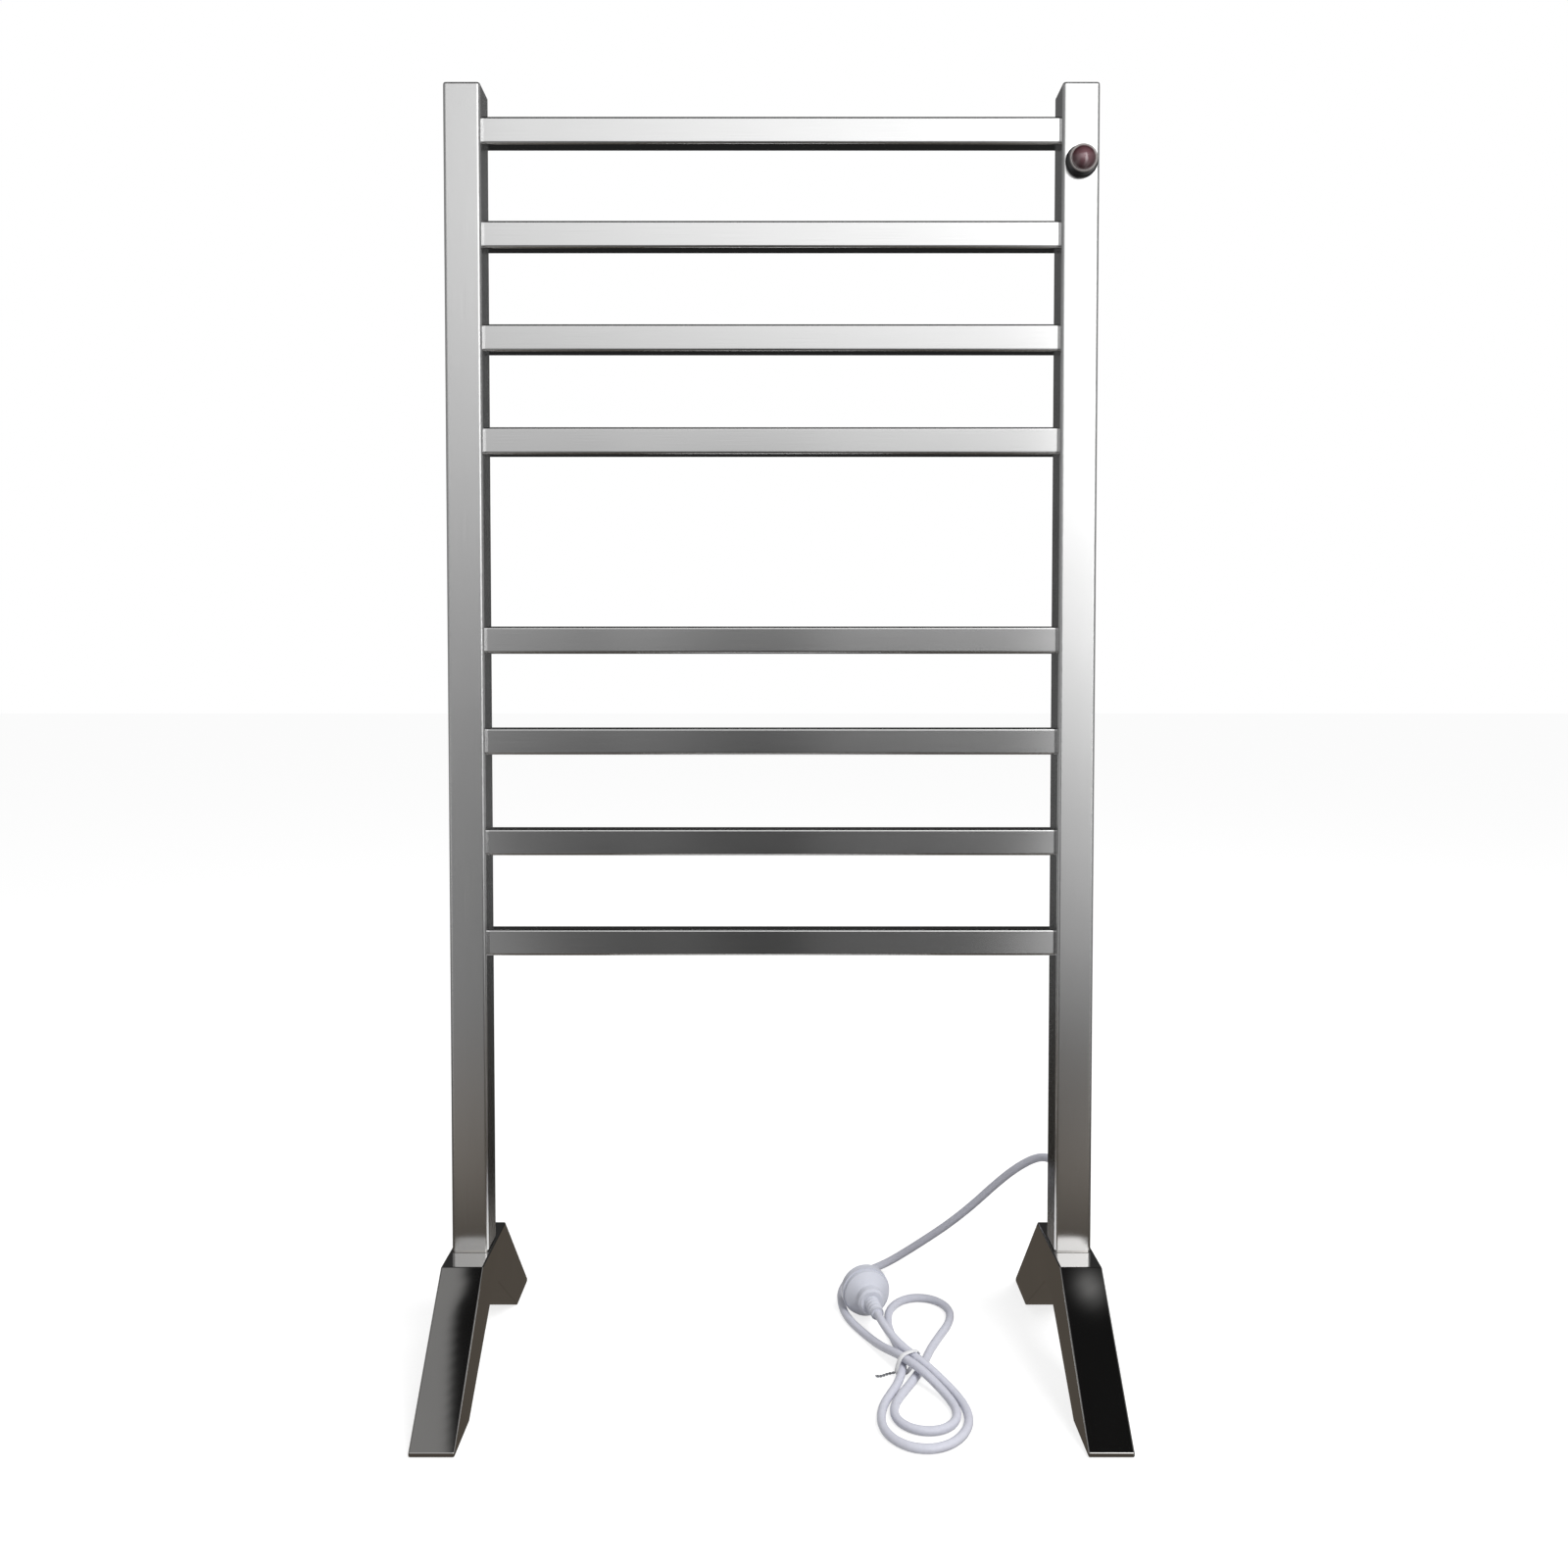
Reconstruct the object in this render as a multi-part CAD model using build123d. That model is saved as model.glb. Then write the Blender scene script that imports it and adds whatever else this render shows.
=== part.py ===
from build123d import *
from math import atan2, cos, degrees, pi, radians, sin, sqrt, tan
import os

# Free-standing electric towel warmer rack, in millimetres.
# X runs along the crossbars, the front faces -Y and Z is up. The origin is on the floor, midway
# between the uprights. Every piece is one named solid, or a named group of identical solids.

# General fits
slip = 0.1            # clearance of a piece that slides into another
thread_gap = 0.1      # radial clearance that stands for a thread
rest_gap = 0.3        # a loose lead above the wall that it lies on

# Uprights: square stainless tube with a flat cap welded on top
upright_size = 30.0
upright_wall = 1.2
upright_bore_corner = 1.5
upright_length = 950.0        # from the foot to the top of the cap
upright_spacing = 497.0       # between the uprights' middles
cap_thickness = 2.4
cap_edge = 2.0
cap_plug_depth = 5.0

# Crossbars: flat-sided tube in two groups
bar_height = 22.0
bar_depth = 15.0
bar_wall = 1.0
bar_bore_corner = 1.2
bars_per_group = 4
bar_pitch = 83.0
group_gap = 162.0             # between the middles of the bars on each side of the wide gap
first_bar_drop = 35.0         # from the top of the rack to the middle of the top bar

# Feet: polished inverted V under each upright
foot_height = 98.0
foot_width = 34.0
foot_shoulder = 27.0          # flat top in front of and behind the tube
foot_reach = 135.0            # from the tube's middle to a toe
foot_toe = 45.0               # length of a toe on the floor
foot_lip = 4.0                # height of the toe's upright end
foot_arch = 60.0              # height of the gap between the legs
foot_arch_flat = 24.0         # seat for the bolt at the top of the gap
foot_edge = 1.2
spigot_height = 18.0
seam_gap = 1.2                # dark line left between the tube and the foot
seam_inset = 0.7              # of the land that the tube stands on
pad_thickness = 2.0
pad_proud = 0.6
pad_margin = 6.0
pad_corner = 2.0

# Foot bolts
bolt_diameter = 8.0
bolt_head_diameter = 14.0
bolt_head_height = 5.0
bolt_hole_gap = 0.25
washer_diameter = 18.0
washer_thickness = 1.6
nut_plate_thickness = 6.0

# Switch: illuminated push button on the front of the right upright
switch_drop = 63.5            # from the top of the rack to the switch's middle
bezel_diameter = 26.0         # of the flange that meets the gasket
bezel_flange = 1.8
bezel_front_diameter = 22.8
bezel_thickness = 7.5
bezel_edge = 0.8
gasket_thickness = 0.4
barrel_diameter = 22.0
barrel_wall = 1.2
barrel_hole_gap = 0.2
switch_nut_thickness = 3.0
button_gap = 0.2
button_depth = 17.5           # from the bezel's face to the floor under the button
button_travel = 2.5
button_over_travel = 0.5      # room left under the skirt at the end of the stroke
button_skirt_wall = 1.2
button_cap_thickness = 2.4
button_ring_proud = 0.5       # the button's flat ring above the bezel
dome_diameter = 18.4
dome_height = 3.4
switch_floor = 2.5
stem_diameter = 6.0
stem_tip_room = 3.5           # from the stem's tip to the base at rest
chamber_depth = 8.0
base_thickness = 1.8
spring_wire = 0.7
spring_diameter = 10.5
spring_turns = 6
blade_width = 4.8
blade_thickness = 0.8
blade_length = 7.0            # behind the base
lead_on_blade = 4.2           # from the base to the leads' middles
blade_across = 4.0            # each blade's distance from the middle
blade_up = 5.0
lamp_diameter = 3.2
lamp_length = 5.0
lamp_side = 6.0

# Heating cable and its connections
cable_diameter = 5.0
cable_turn = 7.0
cable_inset = 6.0             # upright runs, from the tube's middle towards the bars
splice_diameter = 7.0
splice_length = 12.0
splice_start = 9.0
lead_diameter = 2.4
lead_turn = 3.0
cutout_width = 8.0
cutout_depth = 6.0
cutout_height = 18.0
cutout_up = 7.0               # above the top splice

# Terminal block and earth in the right upright
block_width = 22.0
block_depth = 18.0
block_height = 24.0
block_above_exit = 24.0
earth_stud_diameter = 4.0
earth_stud_length = 9.0
earth_nut_across = 7.0
earth_nut_thickness = 3.0
earth_eye_diameter = 10.0
earth_eye_thickness = 2.0
earth_crimp = 0.4             # the wire's end inside the eye's rim
earth_above_block = 40.0

# Mains cord, hank and plug
cord_diameter = 7.0
exit_height = 147.0
gland_flange_diameter = 15.0
gland_flange_thickness = 3.0
gland_neck_diameter = 10.0
gland_inner_thickness = 2.0
gland_inner_lip = 1.5
gland_tail_length = 24.0
gland_tail_root = 12.5
gland_tail_tip = 9.4
cord_tail_turn = 11.0         # the cord's bend inside the tube
cord_floor_gap = 0.1          # under the cord where it lies on the floor
cord_lay = 7.6                # one strand over another
tie_wire = 1.4
tie_corner = 3.0
tie_middle = (112.5, -22.5)
tie_across = (0.87, 0.49)
tie_left = 12.4               # from the tie's middle to its ends, across the strands
tie_right = 10.3
tie_low_right = 1.5           # where the wire leaves the floor
tie_shoulder = 6.6            # where its top starts
tie_rise_left = 8.0           # heights where its sides lean in
tie_rise_right = 11.0
tie_top = 17.9
plug_diameter = 43.0
plug_cap_diameter = 40.0
plug_thickness = 13.0
plug_edge = 2.0
plug_collar_diameter = 23.5
plug_collar_length = 9.0
plug_neck_diameter = 11.7
plug_neck_tip = 9.6
plug_neck_length = 19.0
plug_shoulder = 6.0           # from the collar to the cap's rim
pin_length = 18.0
pin_width = 6.3
pin_thickness = 1.6
pin_circle = 8.0

# Worked-out places
rack_height = foot_height + upright_length
upright_x = upright_spacing / 2
upright_half = upright_size / 2
upright_bore = upright_size - 2 * upright_wall
bore_half = upright_bore / 2
upright_corner = upright_bore_corner + upright_wall
bar_length = upright_spacing - upright_size
bar_bore_depth = bar_depth - 2 * bar_wall
bar_bore_height = bar_height - 2 * bar_wall
group_length = (bars_per_group - 1) * bar_pitch
bar_heights = []
for group in range(2):
    for step in range(bars_per_group):
        drop = first_bar_drop + group * (group_length + group_gap) + step * bar_pitch
        bar_heights.append(rack_height - drop)
switch_z = rack_height - switch_drop
bezel_face = -(upright_half + gasket_thickness + bezel_thickness)
button_floor = bezel_face + button_depth
chamber_front = button_floor + switch_floor
barrel_back = chamber_front + chamber_depth
base_front = barrel_back - base_thickness
lead_y = barrel_back + lead_on_blade
gland_end = upright_half + gland_flange_thickness + gland_tail_length
block_bottom = exit_height + block_above_exit
block_top = block_bottom + block_height
earth_z = block_top + earth_above_block


def box_section(width, depth, wall, bore_corner):
    """Hollow rounded rectangle; the outer corner is the bore's corner plus the wall."""
    outer = RectangleRounded(width, depth, bore_corner + wall)
    return outer - RectangleRounded(width - 2 * wall, depth - 2 * wall, bore_corner)


def turned(points):
    """Solid of revolution about the Y axis from (radius, y) corners."""
    return revolve(Polygon(*points, align=None), Axis.Y)


def wire_along(path, diameter):
    """Round wire swept square to the start of its path."""
    start = Plane(origin=path @ 0, z_dir=path % 0)
    return sweep(start * Circle(diameter / 2), path=path)


def lead(points, diameter=lead_diameter, turn=lead_turn):
    """Insulated wire on straight runs joined by arcs."""
    if len(points) == 2:
        return wire_along(Line(*points), diameter)
    return wire_along(FilletPolyline(*points, radius=turn), diameter)


# Uprights
def bar_ports():
    """Openings through the left upright's inner wall, one behind each bar's bore."""
    bore = Plane.YZ * RectangleRounded(bar_bore_depth, bar_bore_height, bar_bore_corner)
    port = extrude(bore, upright_half)
    return [Pos(-upright_x, 0, z) * port for z in bar_heights]


def left_upright():
    """Square tube with a port for the heating cable behind every bar."""
    tube = extrude(box_section(upright_size, upright_size, upright_wall, upright_bore_corner),
                   upright_length - cap_thickness - seam_gap)
    return Pos(-upright_x, 0, foot_height + seam_gap) * tube - bar_ports()


def right_upright():
    """Mirror of the left tube, with holes for the switch and the cord's gland."""
    barrel_hole = Cylinder(barrel_diameter / 2 + barrel_hole_gap, upright_half, align=(Align.CENTER,) * 3)
    gland_hole = Cylinder(gland_neck_diameter / 2 + slip, upright_half, align=(Align.CENTER,) * 3)
    tube = mirror(left_upright(), about=Plane.YZ)
    tube -= Pos(upright_x, -upright_half, switch_z) * Rot(90, 0, 0) * barrel_hole
    return tube - Pos(upright_x, upright_half, exit_height) * Rot(90, 0, 0) * gland_hole


def top_cap(side):
    """Flat cap over the tube's end, with a plug that centres it."""
    plate = extrude(RectangleRounded(upright_size, upright_size, upright_corner), cap_thickness)
    plate = fillet(plate.edges().group_by(Axis.Z)[-1], cap_edge)
    plug_size = upright_bore - 2 * slip
    plug = extrude(RectangleRounded(plug_size, plug_size, upright_bore_corner), -cap_plug_depth)
    return Pos(side * upright_x, 0, rack_height - cap_thickness) * (plate + plug)


def crossbar(z):
    """Flat-sided tube between the uprights' inner faces."""
    section = Plane.YZ * box_section(bar_depth, bar_height, bar_wall, bar_bore_corner)
    return Pos(0, 0, z) * extrude(section, bar_length / 2, both=True)


# Feet
def foot_pad_places():
    """Middles of the two floor pads along Y."""
    middle = foot_reach - foot_toe / 2
    return (-middle, middle)


def foot_pad(length, width, height):
    """One pad, or the pocket for it, standing on the floor at its middle."""
    return extrude(RectangleRounded(width, length, pad_corner), height)


def foot(side):
    """Inverted V with a flat top, a land and spigot for the tube, and pockets for the pads."""
    top_half = upright_half + foot_shoulder
    front_half = [(foot_reach - foot_toe, pad_proud), (foot_reach, pad_proud), (foot_reach, foot_lip),
                  (top_half, foot_height)]
    outline = [(-foot_arch_flat / 2, foot_arch), (foot_arch_flat / 2, foot_arch)] + front_half
    outline += [(-y, z) for y, z in reversed(front_half)]
    body = extrude(Plane.YZ * Polygon(*outline, align=None), foot_width / 2, both=True)
    body = fillet(body.edges(), foot_edge)
    spigot_size = upright_bore - 2 * slip
    spigot = extrude(RectangleRounded(spigot_size, spigot_size, upright_bore_corner), spigot_height)
    land_size = upright_size - 2 * seam_inset
    land = extrude(RectangleRounded(land_size, land_size, upright_corner - seam_inset), seam_gap)
    body += Pos(0, 0, foot_height) * (spigot + land)
    pocket = foot_pad(foot_toe - 2 * pad_margin, foot_width - 2 * pad_margin, pad_thickness)
    body -= [Pos(0, y, 0) * pocket for y in foot_pad_places()]
    hole = Cylinder(bolt_diameter / 2 + bolt_hole_gap, rack_height, align=(Align.CENTER,) * 3)
    return Pos(side * upright_x, 0, 0) * (body - hole)


def foot_pads(side):
    """Two rubber pads that stand a little below their foot."""
    length = foot_toe - 2 * pad_margin - 2 * slip
    pad = foot_pad(length, foot_width - 2 * pad_margin - 2 * slip, pad_thickness)
    return [Pos(side * upright_x, y, 0) * pad for y in foot_pad_places()]


def foot_bolt(side):
    """Hexagon-head bolt up through the foot into the nut plate."""
    head_top = foot_arch - washer_thickness
    shank_length = foot_height + spigot_height + nut_plate_thickness - head_top
    head = extrude(RegularPolygon(bolt_head_diameter / 2, 6), -bolt_head_height)
    shank = Cylinder(bolt_diameter / 2, shank_length, align=(Align.CENTER, Align.CENTER, Align.MIN))
    return Pos(side * upright_x, 0, head_top) * (head + shank)


def foot_washers():
    """One flat washer under each bolt's head."""
    ring = Circle(washer_diameter / 2) - Circle(bolt_diameter / 2 + bolt_hole_gap)
    washer = extrude(ring, -washer_thickness)
    return [Pos(side * upright_x, 0, foot_arch) * washer for side in (-1, 1)]


def nut_plate(side):
    """Tapped plate held in the tube on top of the spigot."""
    size = upright_bore - 2 * slip
    face = RectangleRounded(size, size, upright_bore_corner) - Circle(bolt_diameter / 2 + thread_gap)
    return Pos(side * upright_x, 0, foot_height + spigot_height) * extrude(face, nut_plate_thickness)


# Switch, turned about Y and set into the right upright
switch_place = Pos(upright_x, 0, switch_z)
barrel_radius = barrel_diameter / 2
button_bore = barrel_radius - barrel_wall
button_radius = button_bore - button_gap
stem_radius = stem_diameter / 2
ring_face = bezel_face - button_ring_proud
cap_under = ring_face + button_cap_thickness
skirt_end = button_floor - button_travel - button_over_travel


def switch_housing():
    """Flanged collar and barrel in one, with the button's bore in front and the contact chamber behind."""
    bezel_radius = bezel_diameter / 2
    front_radius = bezel_front_diameter / 2
    bezel_back = bezel_face + bezel_thickness
    return switch_place * turned([
        (button_bore, bezel_face), (front_radius - bezel_edge, bezel_face),
        (front_radius, bezel_face + bezel_edge), (bezel_radius - bezel_edge, bezel_back - bezel_flange),
        (bezel_radius, bezel_back - bezel_flange + bezel_edge), (bezel_radius, bezel_back),
        (barrel_radius, bezel_back), (barrel_radius, barrel_back), (button_bore, barrel_back),
        (button_bore, chamber_front), (stem_radius + button_gap, chamber_front),
        (stem_radius + button_gap, button_floor), (button_bore, button_floor)])


def switch_gasket():
    """Thin ring between the bezel and the tube."""
    inner = barrel_radius + slip
    outer = bezel_diameter / 2 - bezel_edge / 2
    back = -upright_half
    front = back - gasket_thickness
    return switch_place * turned([(inner, front), (outer, front), (outer, back), (inner, back)])


def switch_nut():
    """Ring nut that clamps the barrel from inside the tube."""
    inner = barrel_radius + thread_gap
    outer = bore_half - upright_bore_corner - slip
    front = -bore_half
    back = front + switch_nut_thickness
    return switch_place * turned([(inner, front), (outer, front), (outer, back), (inner, back)])


def switch_button():
    """Translucent cap: a low dome of one sphere, with a skirt that guides it."""
    dome_radius = dome_diameter / 2
    skirt_bore = button_radius - button_skirt_wall
    dome_top = ring_face - dome_height
    sphere = (dome_radius ** 2 + dome_height ** 2) / (2 * dome_height)
    shoulder = dome_top + sphere - sqrt(sphere ** 2 - (dome_radius / 2) ** 2)
    crown = [(0, dome_top), (dome_radius / 2, shoulder), (dome_radius, ring_face)]
    outline = [ThreePointArc(*crown),
               Polyline(crown[-1], (button_radius, ring_face), (button_radius, skirt_end),
                        (skirt_bore, skirt_end), (skirt_bore, cap_under), (0, cap_under), crown[0])]
    return switch_place * revolve(make_face(outline), Axis.Y)


def switch_plunger():
    """Stem from the cap's underside through the floor to the contacts."""
    tip = base_front - stem_tip_room
    return switch_place * turned([(0, cap_under), (stem_radius, cap_under), (stem_radius, tip), (0, tip)])


def switch_spring():
    """Return spring round the stem, between the floor and the cap."""
    height = button_floor - cap_under - spring_wire - 2 * slip
    coil = Helix(height / spring_turns, height, spring_diameter / 2)
    place = Pos(0, cap_under + slip + spring_wire / 2, 0) * Rot(-90, 0, 0)
    return switch_place * place * wire_along(coil, spring_wire)


def blade_places():
    """Middles of the two blades: the live one low on the outer side, the switched one high inside."""
    return [(blade_across, -blade_up), (-blade_across, blade_up)]


def switch_base():
    """Disc that closes the barrel and holds the blades."""
    disc = turned([(0, base_front), (button_bore - slip, base_front), (button_bore - slip, barrel_back),
                   (0, barrel_back)])
    middle = (base_front + barrel_back) / 2
    slot = Box(blade_thickness, base_thickness, blade_width)
    return switch_place * (disc - [Pos(x, middle, z) * slot for x, z in blade_places()])


def switch_terminals():
    """Two push-on blades through the base."""
    length = base_thickness + blade_length
    blade = Box(blade_thickness, length, blade_width)
    return [switch_place * Pos(x, base_front + length / 2, z) * blade for x, z in blade_places()]


def switch_lamp():
    """Neon lamp that stands on the base beside the stem."""
    radius = lamp_diameter / 2
    capsule = turned([(0, base_front - lamp_length), (radius, base_front - lamp_length),
                      (radius, base_front), (0, base_front)])
    return switch_place * Pos(lamp_side, 0, 0) * capsule


# Heating cable through every bar
cable_drop = bar_bore_height / 2 - rest_gap - cable_diameter / 2
cable_heights = [z - cable_drop for z in bar_heights]
cable_end_x = upright_x - splice_start


def heating_cable():
    """Serpentine that lies along each bar's floor and turns inside the uprights."""
    turn_x = upright_x - cable_inset
    points = [(cable_end_x, 0, cable_heights[0])]
    for level in range(len(cable_heights) - 1):
        x = -turn_x if level % 2 == 0 else turn_x
        points += [(x, 0, cable_heights[level]), (x, 0, cable_heights[level + 1])]
    points.append((cable_end_x, 0, cable_heights[-1]))
    return wire_along(FilletPolyline(*points, radius=cable_turn), cable_diameter)


def heater_splices():
    """Crimped sleeves that join the cable's two ends to their leads."""
    sleeve = Rot(0, 90, 0) * Cylinder(splice_diameter / 2, splice_length,
                                      align=(Align.CENTER, Align.CENTER, Align.MIN))
    return [Pos(cable_end_x, 0, z) * sleeve for z in (cable_heights[0], cable_heights[-1])]


splice_end_x = cable_end_x + splice_length
cutout_x = upright_x - blade_across
cutout_y = bore_half - cutout_depth / 2
cutout_bottom = cable_heights[0] + cutout_up
cutout_right = cutout_x + cutout_width / 2
lead_side_x = upright_x + bore_half - lead_diameter - rest_gap


def thermal_cutout():
    """Over-temperature cut-out against the tube's rear wall."""
    body = Box(cutout_width, cutout_depth, cutout_height, align=(Align.CENTER, Align.CENTER, Align.MIN))
    return Pos(cutout_x, cutout_y, cutout_bottom) * body


def live_lead():
    """From the terminal block up to the switch's low blade."""
    x = upright_x + blade_across
    return lead([(x, lead_y, block_top), (x, lead_y, switch_z - blade_up - blade_width / 2)])


def switched_lead():
    """From the switch's high blade up to the cut-out."""
    blade_top = switch_z + blade_up + blade_width / 2
    return lead([(cutout_x, lead_y, blade_top), (cutout_x, lead_y, cutout_bottom)])


def cutout_lead():
    """From the top splice round to the cut-out's side."""
    middle = cutout_bottom + cutout_height / 2
    return lead([(splice_end_x, 0, cable_heights[0]), (lead_side_x, 0, cable_heights[0]),
                 (lead_side_x, cutout_y, middle), (cutout_right, cutout_y, middle)])


def neutral_lead():
    """From the low splice down to the terminal block."""
    return lead([(splice_end_x, 0, cable_heights[-1]), (lead_side_x, 0, cable_heights[-1]),
                 (lead_side_x, 0, block_top)])


# Terminal block, earth stud and the cord's end inside the tube
def terminal_block():
    """Block against the rear wall, where the cord's cores meet the leads."""
    body = Box(block_width, block_depth, block_height, align=(Align.CENTER, Align.MAX, Align.MIN))
    return Pos(upright_x, bore_half, block_bottom) * body


def earth_stud():
    """Stud welded to the tube's inner wall."""
    stud = Cylinder(earth_stud_diameter / 2, earth_stud_length,
                    align=(Align.CENTER, Align.CENTER, Align.MIN))
    return Pos(upright_x - bore_half, 0, earth_z) * Rot(0, 90, 0) * stud


def earth_lead():
    """Wire from the block up to an eye on the stud, bent from one piece."""
    eye_x = upright_x - bore_half + rest_gap
    ring = Circle(earth_eye_diameter / 2) - Circle(earth_stud_diameter / 2 + slip)
    eye = Pos(eye_x, 0, earth_z) * Rot(0, 90, 0) * extrude(ring, earth_eye_thickness)
    wire_x = eye_x + lead_diameter / 2 + slip
    wire = lead([(wire_x, 0, block_top), (wire_x, 0, earth_z - earth_eye_diameter / 2 + earth_crimp)])
    return eye + wire


def earth_nut():
    """Nut that holds the eye on the stud."""
    hexagon = RegularPolygon(earth_nut_across / 2, 6, major_radius=False)
    face = hexagon - Circle(earth_stud_diameter / 2 + thread_gap)
    seat = upright_x - bore_half + rest_gap + earth_eye_thickness
    return Pos(seat, 0, earth_z) * Rot(0, 90, 0) * extrude(face, earth_nut_thickness)


def cord_gland():
    """Rubber bush through the rear wall, with a tapered tail round the cord."""
    bore = cord_diameter / 2 + slip
    neck = gland_neck_diameter / 2
    flange = gland_flange_diameter / 2
    inner_back = bore_half - gland_inner_thickness
    flange_back = upright_half + gland_flange_thickness
    return Pos(upright_x, 0, exit_height) * turned([
        (bore, inner_back), (neck + gland_inner_lip, inner_back), (neck + gland_inner_lip, bore_half),
        (neck, bore_half), (neck, upright_half), (flange, upright_half), (flange, flange_back),
        (gland_tail_root / 2, flange_back), (gland_tail_tip / 2, gland_end), (bore, gland_end)])


def cord_tail():
    """The cord's end inside: through the gland, then up into the block."""
    bend = (upright_x, 0, exit_height)
    return lead([(upright_x, gland_end, exit_height), bend, (upright_x, 0, block_bottom)],
                cord_diameter, cord_tail_turn)


# Free stretch of the cord: out of the gland, down to the floor, round behind the plug and in to the tie
cord_radius = cord_diameter / 2
floor_z = cord_radius + cord_floor_gap
cord_points = [
    (upright_x, gland_end, exit_height),
    (upright_x, 61, exit_height),
    (239, 78, 142),
    (222, 88, 128),
    (204, 96, 109),
    (186, 105, 87),
    (167, 116, 65.5),
    (148, 128, 46),
    (130, 140, 28),
    (112, 147.5, 13),
    (94, 147, 5.5),
    (78.5, 138, floor_z),
    (68.5, 122.5, floor_z),
    (64, 104.5, floor_z),
    (63.5, 86.5, floor_z),
    (65.5, 69, floor_z),
    (71, 52, floor_z),
    (79.5, 35.5, floor_z),
]
cord_arc_share = 0.45         # share of the shorter run that a corner's arc may use

# Hank: a figure of eight, one and a half times round, tied at its waist. Each point has its place on
# the floor and its layer: 0 on the floor, 1 on top of one strand. In order, they go over the waist,
# round the inner lower loop, under the waist to the upper loop, under the plug's neck and the waist,
# round the outer lower loop, and over the waist to the plug.
hank_points = [
    (85.5, 23.5, 0.09), (91, 11.5, 0.32), (96.5, 0, 0.64), (103, -12, 1.05), (109.5, -23, 1.25),
    (117.5, -34, 1.24), (125.5, -44.5, 0.97), (133.5, -55.5, 0.5), (140, -67, 0.17),
    (143.5, -80.5, 0.03), (141, -95, 0), (130.5, -105.5, 0), (116, -108, 0), (102.5, -102.5, 0),
    (94.5, -90, 0), (95.5, -75, 0), (101, -62.5, 0), (107.5, -51, 0), (114.5, -39, 0), (120.5, -27, 0),
    (126, -14.5, 0), (130.5, -2, 0), (135.5, 10.5, 0), (141.5, 22.5, 0), (147.5, 34.5, 0),
    (154, 46.5, 0), (158.5, 59.5, 0), (160, 73, 0), (155.5, 86, 0), (145.5, 95, 0), (132, 97.5, 0),
    (120, 93, 0), (111, 83.5, 0), (105.5, 72.5, 0), (103, 58.5, 0), (102.5, 45, 0), (104, 31.5, 0),
    (106, 18.5, 0), (107.5, 5.5, 0.04), (109, -7.5, 0.13), (108, -20.5, 0.21), (105.5, -33, 0.18),
    (101, -45, 0.04), (95, -57, 0), (89, -69, 0), (85, -82, 0), (83.5, -95.5, 0), (86, -109, 0),
    (93, -120, 0), (103.5, -127.5, 0), (117, -129.5, 0), (129.5, -125.5, 0), (140, -117, 0),
    (148, -104.5, 0), (151.5, -91, 0), (151, -76.5, 0), (147.5, -63.5, 0.04), (141.5, -51, 0.24),
    (133.5, -40, 0.66), (125.5, -30, 1.08), (117, -19.5, 1.29), (109.5, -9.5, 1.51), (102.5, 1.5, 1.8),
    (97, 13.5, 2.14),
]
plug_neck = (91.8, 33.0)
plug_heading = Vector(-0.17, 0.985, 0).normalized()


def hank_knots():
    """Points and headings along the hank, ending straight into the plug's neck.

    A point's heading is that of the circle through it and its two neighbours."""
    points = [Vector(x, y, floor_z + layer * cord_lay) for x, y, layer in hank_points]
    neck = Vector(*plug_neck, plug_diameter / 2)
    neck_start = neck - plug_heading * cord_diameter
    knots = [(points[0], (points[0] - Vector(*cord_points[-1])).normalized())]
    ends = points + [neck_start]
    for before, here, after in zip(ends, ends[1:], ends[2:]):
        came, goes = here - before, after - here
        heading = came.normalized() * goes.length + goes.normalized() * came.length
        knots.append((here, heading.normalized()))
    return knots + [(neck_start, plug_heading), (neck, plug_heading)]


def biarc(start, start_heading, end, end_heading):
    """Two arcs that leave start and reach end along the given headings."""
    chord = end - start
    headings = start_heading + end_heading
    spare = 2 * (1 - start_heading.dot(end_heading))
    reach = chord.dot(headings)
    if spare < 1e-9:
        return [Line(start, end)]
    handle = (sqrt(reach ** 2 + spare * chord.dot(chord)) - reach) / spare
    middle = (start + start_heading * handle + end - end_heading * handle) / 2
    return [Edge.make_tangent_arc(start, start_heading, middle),
            Edge.make_tangent_arc(end, end_heading * -1, middle)]


def cord_lead_path():
    """Straight runs joined by the largest tangent arcs that they allow; prints the radii."""
    points = [Vector(*p) for p in cord_points] + [hank_knots()[0][0]]
    radii = []
    for before, corner, after in zip(points, points[1:], points[2:]):
        turn = (corner - before).get_angle(after - corner)
        run = min((corner - before).length, (after - corner).length)
        radii.append(cord_arc_share * run / tan(radians(turn / 2)))
    print("cord radii", [round(r, 1) for r in radii])
    return FilletPolyline(*points, radius=radii)


def hank_path():
    """The hank's biarcs as one wire; prints the least gap between its strands."""
    knots = hank_knots()
    edges = []
    for (start, start_heading), (end, end_heading) in zip(knots, knots[1:]):
        edges += biarc(start, start_heading, end, end_heading)
    path = Wire(edges)
    step = cord_diameter / 5
    count = int(path.length / step)
    samples = [path @ (i / count) for i in range(count + 1)]
    skip = int(4 * cord_diameter / step)
    gap = min((samples[i] - samples[j]).length
              for i in range(count + 1) for j in range(i + skip, count + 1))
    print("hank length", round(path.length, 1), "least gap", round(gap - cord_diameter, 2))
    return path


def cord_solid(path, name):
    """Round cord on its path; prints its volume against section times length."""
    solid = wire_along(path, cord_diameter)
    print(name, "length", round(path.length, 1), "volume ratio",
          round(solid.volume / (pi * cord_radius ** 2 * path.length), 4))
    return solid


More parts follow.
